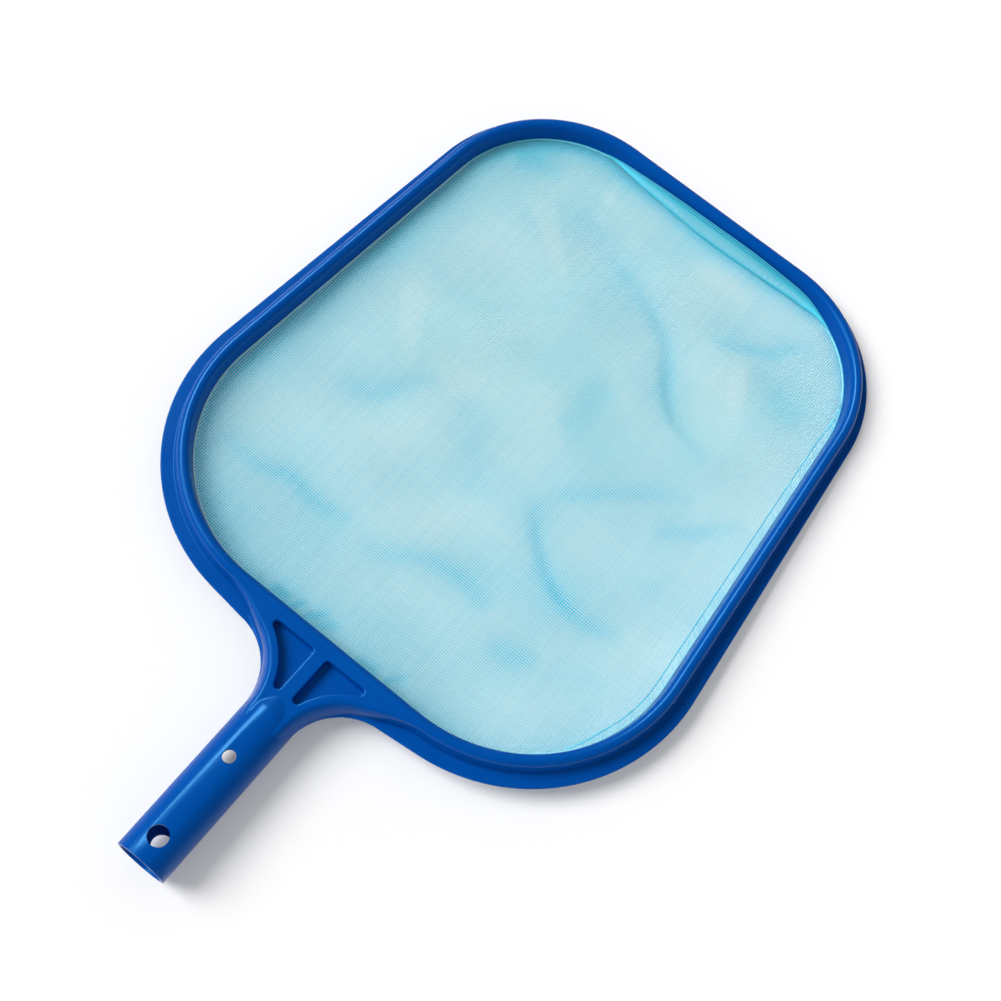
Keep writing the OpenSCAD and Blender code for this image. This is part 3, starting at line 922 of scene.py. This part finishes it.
def far_strip(rim, net, place, away):
    """The doubled edge at the far side: threads that rise from the crease to the bead's wall, threads along
    it, and the crease itself. Along a rising thread the height grows with share^rise, and the colour is
    deepest at the crease and the wall."""
    least_stand, wall_gap, least_height, lift = 0.02, 0.2 * MM, 0.5 * MM, 1.2 * net.thread_height
    plain, at_wall, at_crease, at_ends, crease_fade, crease_tone = 0.55, 0.9, 0.7, 0.45, 0.12, 1.7
    rise, rings = 1.4, 9
    stand = standing_edge(rim, place)
    rows = np.flatnonzero(stand > least_stand)
    rows = rows[np.argsort(-place[rows, 0])]
    stand = stand[rows][:, None]
    share = np.linspace(0.0, 1.0, rings)
    inwards = stand * net.strip_width * (1 - share) + wall_gap * share
    plan = place[rows][:, None] - inwards[..., None] * away[rows][:, None]
    height, _ = slack_surface(rim, net, plan)
    height = height[:, :1] + lift + (stand * net.strip_height + least_height) * share**rise
    sheet = np.concatenate([plan, height[..., None]], -1)
    tone = plain + at_wall * share**3 + at_crease * np.exp(-share / crease_fade) + at_ends * (1 - stand)
    along = np.swapaxes(sheet, 0, 1)
    thin, thick, half = 0.4 * net.thread_width, 0.85 * net.thread_width, net.thread_height / 2
    return [thread_tubes(sheet, thin, half, tone),
            thread_tubes(along[1:], thin, half, tone.T[1:]),
            thread_tubes(along[:1], thick, half, np.full((1, len(rows)), crease_tone))]


def hem_threads(rim, net):
    """The doubled edge of the net: slanting threads from under the bead to a border cord, whose distance
    from the bead swells along the right side, a cord at the bead's foot, and the strip at the far side."""
    least_width, foot_gap, slant, lift = 0.8 * MM, 0.35 * MM, 6, 0.9 * net.thread_height
    rings, palest, deepest, plain_foot, left_lighter, far_foot = 7, 0.15, 0.75, 0.6, 0.5, 1.5
    place, away = even_edge(rim, step=0.75 * net.pitch)
    count = len(place)
    x, y = place[:, 0], place[:, 1] - near_edge(rim)
    swell = ramp(y, start=28 * MM, span=35 * MM) * ramp(y, start=345 * MM, span=-50 * MM)
    swell = np.where(x > 0, eased(swell), 0.0)
    width = least_width + (net.hem_width - least_width) * swell

    def laid(plan, over):
        """Plan points at a height over the slack surface, and how deep the colour is there."""
        height, depth = slack_surface(rim, net, plan)
        return np.concatenate([plan, (height + over)[..., None]], -1), depth

    share = np.linspace(0.0, 1.0, rings)
    ahead = np.round(slant * share * swell[:, None]).astype(int)
    index = (np.arange(count)[:, None] + ahead) % count
    inwards = (width[:, None] + net.tuck) * share - net.tuck
    slanted, depth = laid(place[index] - inwards[..., None] * away[index], lift)
    light = np.random.default_rng(13).uniform(palest, deepest, count)[:, None] + 0 * depth
    ring = np.arange(count + 1) % count
    border, _ = laid((place - width[:, None] * away)[ring][None], lift)
    foot, _ = laid((place - foot_gap * away)[ring][None], over=1.6 * lift)
    left = ramp(-x, start=60 * MM, span=60 * MM)
    far = ramp(y, start=300 * MM, span=40 * MM)
    foot_tone = (plain_foot - left_lighter * left) * (1 - far) + far_foot * far
    thin, thick, middling = 0.35 * net.thread_width, 0.55 * net.thread_width, 0.45 * net.thread_width
    half = net.thread_height / 2
    return thread_piece("net_hem", [
        thread_tubes(slanted[::2], thin, half, light[::2]),
        thread_tubes(border, thick, half, (0.6 + 0.7 * swell)[ring][None]),
        thread_tubes(foot, middling, half, foot_tone[ring][None]),
        *far_strip(rim, net, place, away)])


class SKIMMER_OT_rim(Operator):
    """Sweep the bead, flange and clamp ring's groove round the opening"""

    bl_idname = "skimmer.rim"
    bl_label = "Rim"

    def execute(self, context):
        rim, net = context.scene.skimmer_rim, context.scene.skimmer_net
        net_top = rim.clamp_base + net.thickness
        points, out, reach = opening_path(rim, corner_steps=40, straight_steps=40)
        _, start = throat_flare(rim)
        faces_near = out[:, 1] < -0.99
        square = faces_near * ramp(np.abs(points[:, 0]), start=start[0], span=-2 * MM)
        mould(swept_ring("rim_moulding", points, out, rim_profile(rim, net_top, reach, square)), "rim_frame")
        return {"FINISHED"}


class SKIMMER_OT_clamp(Operator):
    """Sweep the ring that clamps the net from below"""

    bl_idname = "skimmer.clamp"
    bl_label = "Clamp ring"

    def execute(self, context):
        rim, net = context.scene.skimmer_rim, context.scene.skimmer_net
        points, out, _ = opening_path(rim, corner_steps=40, straight_steps=2)
        profile = clamp_profile(rim, rim.clamp_base + net.thickness)
        profile = np.repeat(profile[None], len(points), 0)
        mould(swept_ring("clamp_ring", points, out, profile), "net_clamp_ring")
        return {"FINISHED"}


class SKIMMER_OT_throat(Operator):
    """Blend the throat into the rim and the neck, and ease the edges of the pole socket"""

    bl_idname = "skimmer.throat"
    bl_label = "Throat and socket"

    def execute(self, context):
        rim, net = context.scene.skimmer_rim, context.scene.skimmer_net
        edge_width, seam_length = 0.5 * MM, 5 * MM
        cores = throat_cores(rim, rim.clamp_base + net.thickness)
        bracket = blended_node("throat_moulding", "throat_bracket", cores, rim.blend_cell, rim.blend_passes)
        mould(bracket, "throat_bracket")

        def socket_seam(a, b):
            """True of an edge at the end of the socket that runs on into the neck."""
            return min(a.y, b.y) > SOCKET_HIGH.y - seam_length

        mould(eased_node("socket_moulding", "pole_socket", edge_width, socket_seam), "pole_socket")
        return {"FINISHED"}


class SKIMMER_OT_net(Operator):
    """Weave the slack net from its two families of threads"""

    bl_idname = "skimmer.net"
    bl_label = "Net"

    def execute(self, context):
        rim, net = context.scene.skimmer_rim, context.scene.skimmer_net
        nylon = shared_material("woven pale blue nylon", woven_nylon)
        warp = thread_family("net_warp", rim, net, across=False, seed=11)
        weft = thread_family("net_weft", rim, net, across=True, seed=12)
        dress(warp, nylon, "net_mesh", "skimmer_net")
        dress(weft, nylon, "net_mesh")
        hem = dress(hem_threads(rim, net), nylon, "net_mesh")
        points, out, _ = opening_path(rim, corner_steps=90, straight_steps=2)
        return {"FINISHED"}


class SKIMMER_OT_stage(Operator):
    """Lay the floor under the part and set up the lamps, the sky and the camera"""

    bl_idname = "skimmer.stage"
    bl_label = "Studio"

    def execute(self, context):
        scene = context.scene
        studio = scene.skimmer_studio
        scene.view_settings.view_transform = "Standard"
        half, gap = 12.0, 0.1 * MM
        y = np.array([-half, half])
        rest = ground_height(scene.skimmer_rim, y) - gap
        corners = [(x, v, z) for v, z in zip(y, rest) for x in (-half, half)]
        floor = mesh_piece("floor", np.array(corners), np.array([[0, 1, 3, 2]]), math.pi)
        floor.data.materials.append(shared_material("pale floor", plain_floor))
        world = bpy.data.worlds.new("even sky")
        world.use_nodes = True
        sky = world.node_tree.nodes["Background"]
        sky.inputs["Color"].default_value = (1.0, 1.0, 1.0, 1.0)
        sky.inputs["Strength"].default_value = studio.sky
        scene.world = world
        sun_lamp("key", studio.key, studio.key_size, Vector(studio.key_from), False)
        for side in (-1, 1):
            aside = Vector(studio.spark_from) + Vector((0.0, side * studio.spark_spread, 0.0))
            sun_lamp("spark", studio.spark, studio.spark_size, aside, True)
        lens = bpy.data.cameras.new("camera")
        lens.sensor_width = 36.0
        lens.lens = studio.lens
        lens.clip_start = 0.01
        camera = placed("camera", lens)
        eye, target = Vector(studio.camera), Vector(studio.target)
        look = (eye - target).to_track_quat("Z", "Y").to_matrix().to_4x4()
        camera.matrix_world = Matrix.Translation(eye) @ look @ Matrix.Rotation(studio.roll, 4, "Z")
        scene.camera = camera
        return {"FINISHED"}


class SKIMMER_PT_panel(Panel):
    """Lists the pieces of the skimmer in the order that they are built in"""

    bl_idname = "SKIMMER_PT_panel"
    bl_label = "Leaf skimmer net"
    bl_space_type = "VIEW_3D"
    bl_region_type = "UI"
    bl_category = "Skimmer"

    def draw(self, context):
        for operator in OPERATORS:
            self.layout.operator(operator.bl_idname)
        for group in SETTINGS:
            settings = getattr(context.scene, group)
            column = self.layout.column(align=True)
            for name in settings.bl_rna.properties.keys():
                if name not in ("rna_type", "name"):
                    column.prop(settings, name)


SETTINGS = {"skimmer_rim": RimSizes, "skimmer_net": NetSizes, "skimmer_finish": Finish,
            "skimmer_studio": Studio}
OPERATORS = (SKIMMER_OT_stage, SKIMMER_OT_rim, SKIMMER_OT_clamp, SKIMMER_OT_throat, SKIMMER_OT_net)
CLASSES = (*SETTINGS.values(), *OPERATORS, SKIMMER_PT_panel)


def register():
    """Makes the settings, the operators and the panel known to Blender."""
    for kind in CLASSES:
        bpy.utils.register_class(kind)
    for name, group in SETTINGS.items():
        setattr(bpy.types.Scene, name, PointerProperty(type=group))


def unregister():
    """Takes them away again, last one first."""
    for name in SETTINGS:
        delattr(bpy.types.Scene, name)
    for kind in reversed(CLASSES):
        bpy.utils.unregister_class(kind)


def main():
    """Builds everything in order."""
    register()
    bpy.ops.skimmer.stage()
    bpy.ops.skimmer.rim()
    bpy.ops.skimmer.clamp()
    bpy.ops.skimmer.throat()
    bpy.ops.skimmer.net()


if __name__ == "__main__":
    main()
